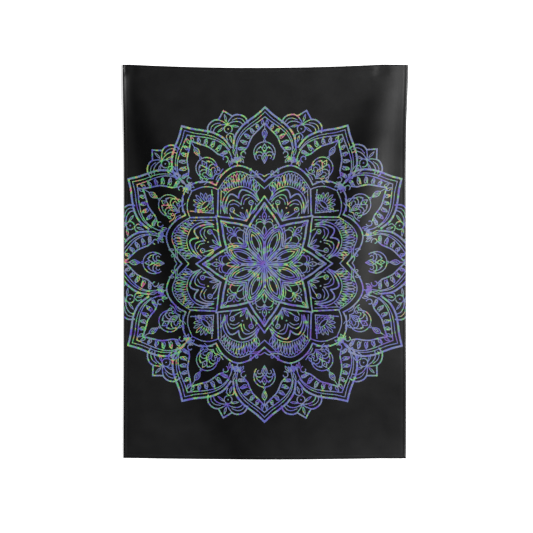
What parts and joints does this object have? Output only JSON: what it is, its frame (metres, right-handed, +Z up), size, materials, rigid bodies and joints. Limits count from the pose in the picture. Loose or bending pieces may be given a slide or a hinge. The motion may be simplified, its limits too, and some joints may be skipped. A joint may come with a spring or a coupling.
{
  "type": "tapestry wall hanging",
  "caption": "Portrait-format printed cloth wall hanging with folded, stitched hems, held flat on a wall by hidden hook-and-loop pads behind its top hem.",
  "frame": {"origin": "on the wall behind the cloth, in the middle of its width and level with the middles of the hanging pads", "axes": "+X to the right seen from the front, +Y into the wall, +Z up; the printed side faces -Y and the wall is the plane y = 0"},
  "size_m": [0.6644, 0.0357, 0.9188],
  "materials": {
    "printed_cloth": "satin black polyester weave with an iridescent line print on one side",
    "sewing_thread": "black polyester lockstitch thread",
    "foam_adhesive": "white closed-cell foam adhesive",
    "hook_tape": "moulded hook tape",
    "loop_tape": "brushed loop tape"
  },
  "bodies": {
    "root": {"cloth_panel": "printed_cloth", "hem_top": "printed_cloth", "hem_bottom": "printed_cloth", "hem_left": "printed_cloth", "hem_right": "printed_cloth", "needle_thread_top": "sewing_thread", "bobbin_thread_top": "sewing_thread", "needle_thread_bottom": "sewing_thread", "bobbin_thread_bottom": "sewing_thread", "needle_thread_left": "sewing_thread", "bobbin_thread_left": "sewing_thread", "needle_thread_right": "sewing_thread", "bobbin_thread_right": "sewing_thread", "adhesive_left": "foam_adhesive", "hook_pad_left": "hook_tape", "loop_pad_left": "loop_tape", "adhesive_right": "foam_adhesive", "hook_pad_right": "hook_tape", "loop_pad_right": "loop_tape"}
  },
  "joints": []
}
